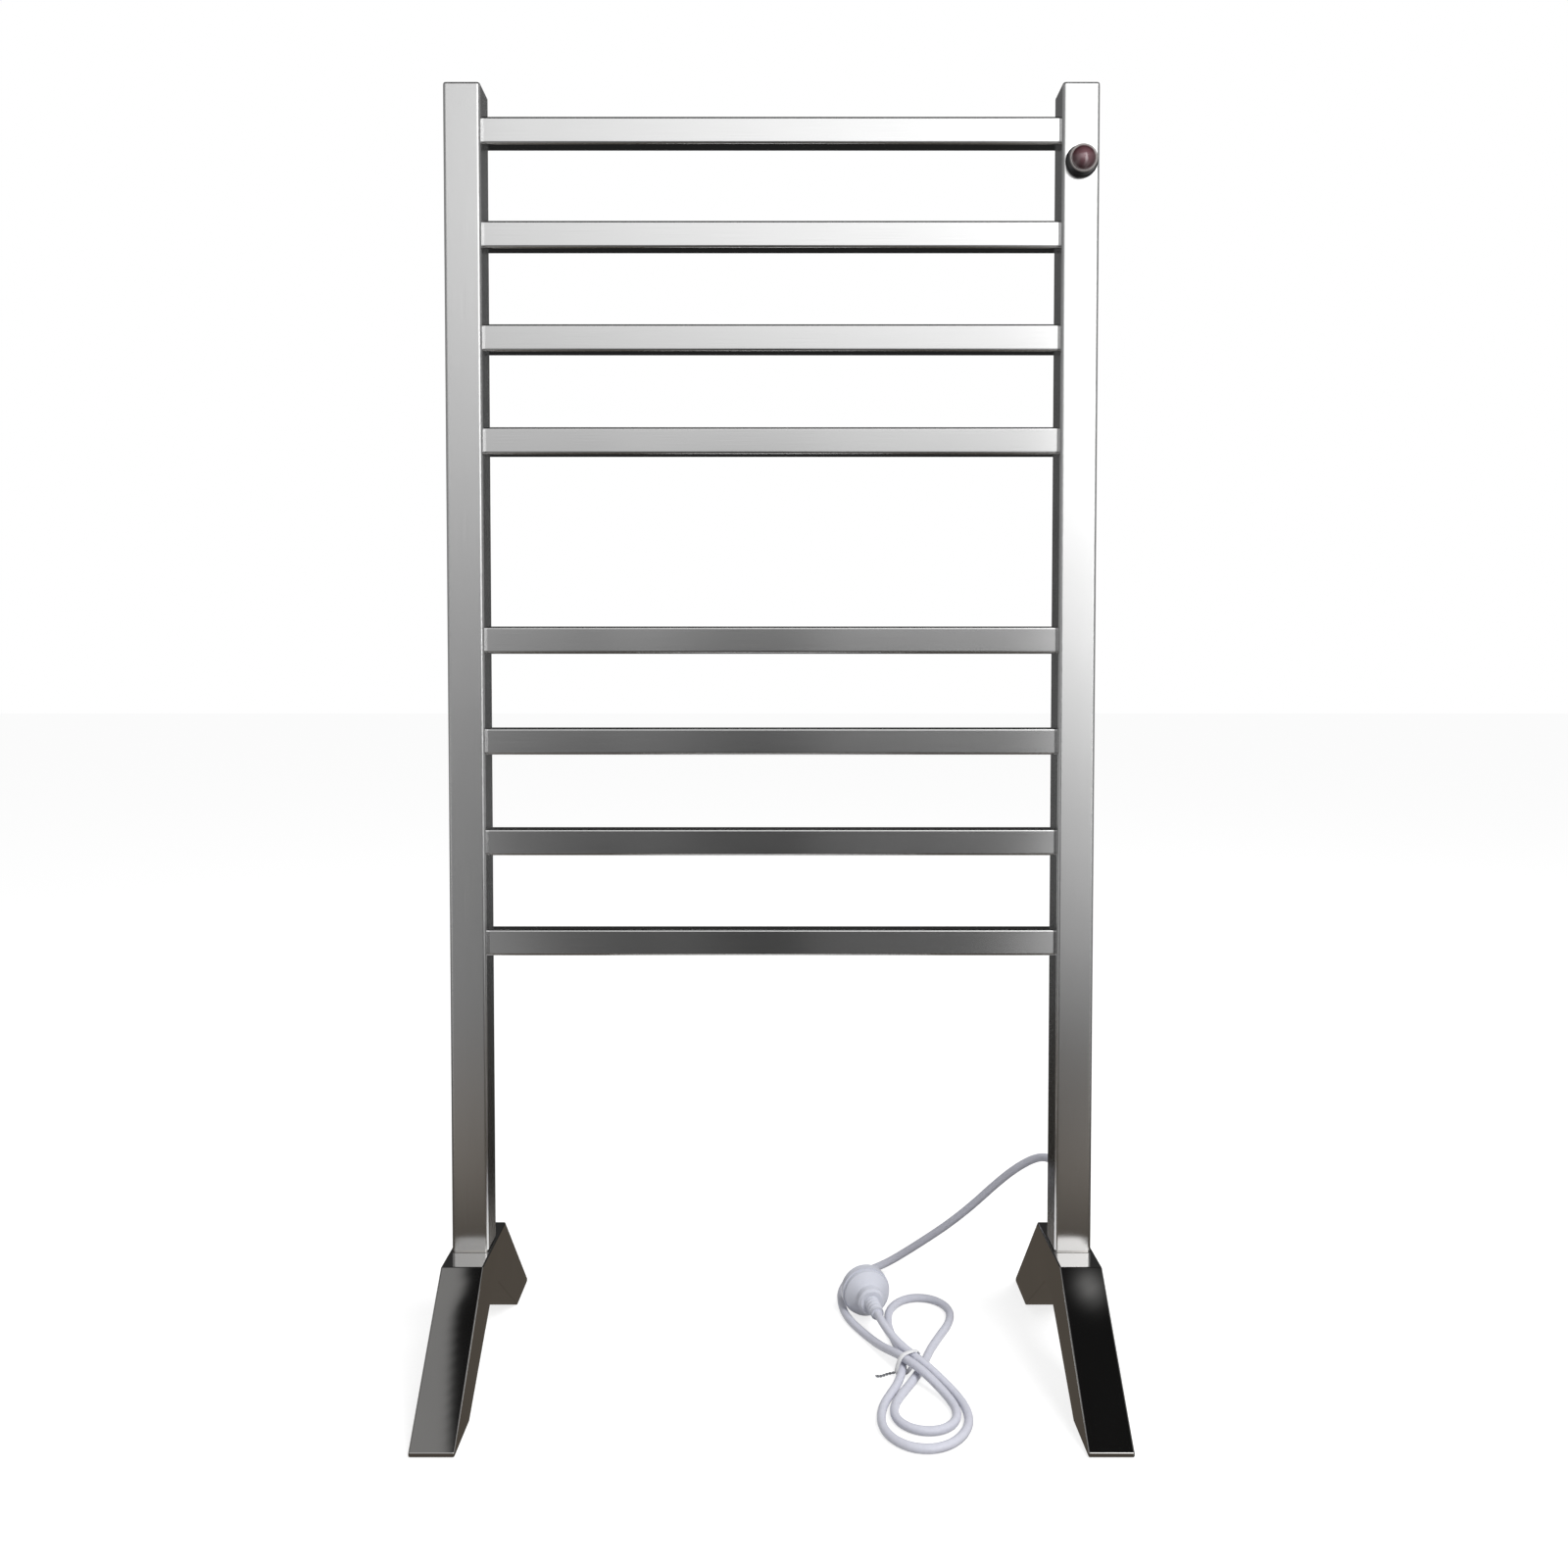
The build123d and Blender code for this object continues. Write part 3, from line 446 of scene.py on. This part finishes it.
def seen_rays(tree):
    """Socket that is 1 for rays from the eye, off gloss or through glass, and 0 for the light on things."""
    path = put(tree, "ShaderNodeLightPath").outputs
    direct = put(tree, "ShaderNodeMath", {0: path["Is Camera Ray"], 1: path["Is Glossy Ray"]},
                 operation="MAXIMUM")
    return put(tree, "ShaderNodeMath", {0: direct.outputs[0], 1: path["Is Transmission Ray"]},
               operation="MAXIMUM").outputs[0]


far = np.array([-30.0, 30.0])
floor = grid_mesh("floor", np.stack(np.meshgrid(far, far) + [np.zeros((2, 2))], axis=-1), False, False)
# White paint, rolled on: dull. What is seen of it is lifted to white, and it keeps the rack's shadow.
floor_paint, tree, inputs = finish("floor_white_paint", {"Base Color": linear("#b4b4b4"), "Roughness": 0.9,
                                                         "Specular IOR Level": 0.0,
                                                         "Emission Color": linear("#ffffff")})
lift = put(tree, "ShaderNodeMath", {0: seen_rays(tree), 1: 0.76}, operation="MULTIPLY")
tree.links.new(lift.outputs[0], inputs["Emission Strength"])
floor.data.materials.append(floor_paint)

world = bpy.data.worlds.new("studio")
bpy.context.scene.world = world
world.use_nodes = True
tree = world.node_tree
lit = put(tree, "ShaderNodeMapRange", {"Value": seen_rays(tree), "To Min": 0.45, "To Max": 1.0})
tree.links.new(lit.outputs[0], tree.nodes["Background"].inputs["Strength"])
tree.nodes["Background"].inputs["Color"].default_value = linear("#ffffff")

# Tent: a dome over a ground cloth. To an eye near the camera's place, a point of it at height h and
# distance r shows on the rack's front at the height (eye_away h + eye_height r) / (eye_away + r). Its glow
# is a rise with that height: low in the middle, a strong panel on the right, a weak one on the left, and
# dark overhead and behind.
eye_away = 1.055
eye_height = 0.59
tent_radius = 6.0
turn_steps = 900
cloth_steps = 60
cloth_height = 0.0002
rise = np.radians(np.concatenate([[0.005], np.linspace(0.25, 89.9, 200)]))
turn = np.radians(np.linspace(-180, 180, turn_steps, endpoint=False))
rise, turn = np.meshgrid(rise, turn, indexing="ij")
dome_points = tent_radius * np.stack([np.sin(turn) * np.cos(rise), -np.cos(turn) * np.cos(rise),
                                      np.sin(rise)], axis=-1)
reach = np.geomspace(0.03, 1, cloth_steps)[:, None] * tent_radius
cloth_points = np.stack([reach * np.sin(turn[0]), -reach * np.cos(turn[0]),
                         np.full((cloth_steps, turn_steps), cloth_height)], axis=-1)
tent_points = np.concatenate([cloth_points, dome_points])
tent = grid_mesh("tent", tent_points, False, True)
reach = np.hypot(tent_points[..., 0], tent_points[..., 1])
shown = (eye_away * tent_points[..., 2] + eye_height * reach) / (eye_away + reach)
turned = np.degrees(np.arctan2(tent_points[..., 0], -tent_points[..., 1]))
ahead = 0.13 + 1.42 * smooth(shown, 0.42, 1.06) ** 1.3
right = 0.13 + 3.7 * smooth(shown, 0.25, 0.78)
left = 0.11 + 0.6 * smooth(shown, 0.1, 0.74)
aside = 0.10 + 0.22 * smooth(shown, 0.2, 0.5)
behind = 0.02 + 0.15 * smooth(shown, 0.7, 1.5)
# Two dark stands are low in front: a thin one to the left, and a wide one with a soft and a sharp side.
thin_stand = np.exp(-((turned + 9.9) / 1.0) ** 2)
wide_stand = smooth(turned, -8, -1.5) * (1 - smooth(turned, 2.3, 2.9))
stands = 1.0 - 0.45 * thin_stand - 0.5 * wide_stand
leaning = 1 + 0.2 * np.clip(turned / 13, -1, 1)
ahead = ahead * (stands + (leaning - stands) * smooth(shown, 0.66, 0.84))
glow = ahead + (right - ahead) * smooth(turned, 15.5, 20) + (left - ahead) * smooth(-turned, 15, 20)
glow = glow + (aside - glow) * smooth(np.abs(turned), 30, 38)
glow = glow + (behind - glow) * smooth(np.abs(turned), 148, 158)
# Four low reflectors stand at the corners, for the faces that are seen from there.
corner = np.abs(np.abs(turned) - 90)
corner_width = smooth(corner, 34, 40) - smooth(corner, 50, 58)
corner_height = smooth(shown, 0.14, 0.3) - smooth(shown, 0.45, 0.65)
glow = glow + 0.4 * corner_width * corner_height
# Overhead the tent is nearly black.
glow = glow + (0.012 - glow) * smooth(shown, 1.15, 1.5)
# A curved pale cloth overhead shows as a streak on the left foot, and a small lamp on the right foot. Here
# along goes from 0 at the outer edge of the left foot's front to 1 at its inner edge.
along = (turned + 20 * (shown - 1.55) + 27) / 3.7
edge = 0.5 - 2.2 * (shown - 1.55) + 0.3 * np.exp(-((shown - 1.78) / 0.035) ** 2)
streak = 0.3 * smooth(edge - along, -0.06, 0.1) * smooth(turned, -45, -36)
glow = glow + streak * (smooth(shown, 1.4, 1.5) - smooth(shown, 1.82, 1.9))
glow = glow + 0.26 * np.exp(-((turned - 31.4) / 1.2) ** 2 - ((shown - 1.765) / 0.025) ** 2)
glow_values = tent.data.attributes.new("glow", "FLOAT", "POINT").data
glow_values.foreach_set("value", glow.ravel().astype(np.float32))

# Cotton cloth, bleached: white, and warmer within a metre of the rack, from the boards under it.
tent_cloth = bpy.data.materials.new("cotton_bleached_tent")
tent_cloth.use_nodes = True
tree = tent_cloth.node_tree
tree.nodes.clear()
place = put(tree, "ShaderNodeTexCoord").outputs["Object"]
away = put(tree, "ShaderNodeVectorMath", {0: place}, operation="LENGTH").outputs["Value"]
white = put(tree, "ShaderNodeMapRange", {"Value": away, "From Min": 0.3, "From Max": 1.2}).outputs[0]
shade = put(tree, "ShaderNodeMix", {"Factor": white, 6: linear("#ffefdc"), 7: linear("#ffffff")},
            data_type="RGBA")
strength = put(tree, "ShaderNodeAttribute", attribute_name="glow").outputs["Fac"]
shine = put(tree, "ShaderNodeEmission", {"Color": shade.outputs[2], "Strength": strength})
put(tree, "ShaderNodeOutputMaterial", {"Surface": shine.outputs[0]})
tent.data.materials.append(tent_cloth)
tent.visible_camera = tent.visible_diffuse = tent.visible_shadow = tent.visible_transmission = False

lamp = bpy.data.lights.new("soft_lamp", "AREA")
lamp.shape = "DISK"
lamp.size = 1.4
lamp.energy = 58
soft_lamp = bpy.data.objects.new("soft_lamp", lamp)
soft_lamp.location = (1.1, -1.3, 2.2)
soft_lamp.rotation_euler = (math.radians(38), 0, math.radians(40))
soft_lamp.visible_glossy = False
bpy.context.scene.collection.objects.link(soft_lamp)

# The camera is at a little over half the rack's height. Its framing is part tilt and part shift, because the
# other views keep the shift.
lens = bpy.data.cameras.new("camera")
lens.sensor_width = 36
lens.lens = 28.32
lens.shift_x = 0.008
lens.shift_y = -0.034
camera = bpy.data.objects.new("camera", lens)
camera.location = (0, -1.018, 0.56)
camera.rotation_euler = (math.radians(90 - 1.83), 0, 0)
bpy.context.scene.collection.objects.link(camera)
bpy.context.scene.camera = camera
bpy.context.scene.view_settings.view_transform = "Standard"
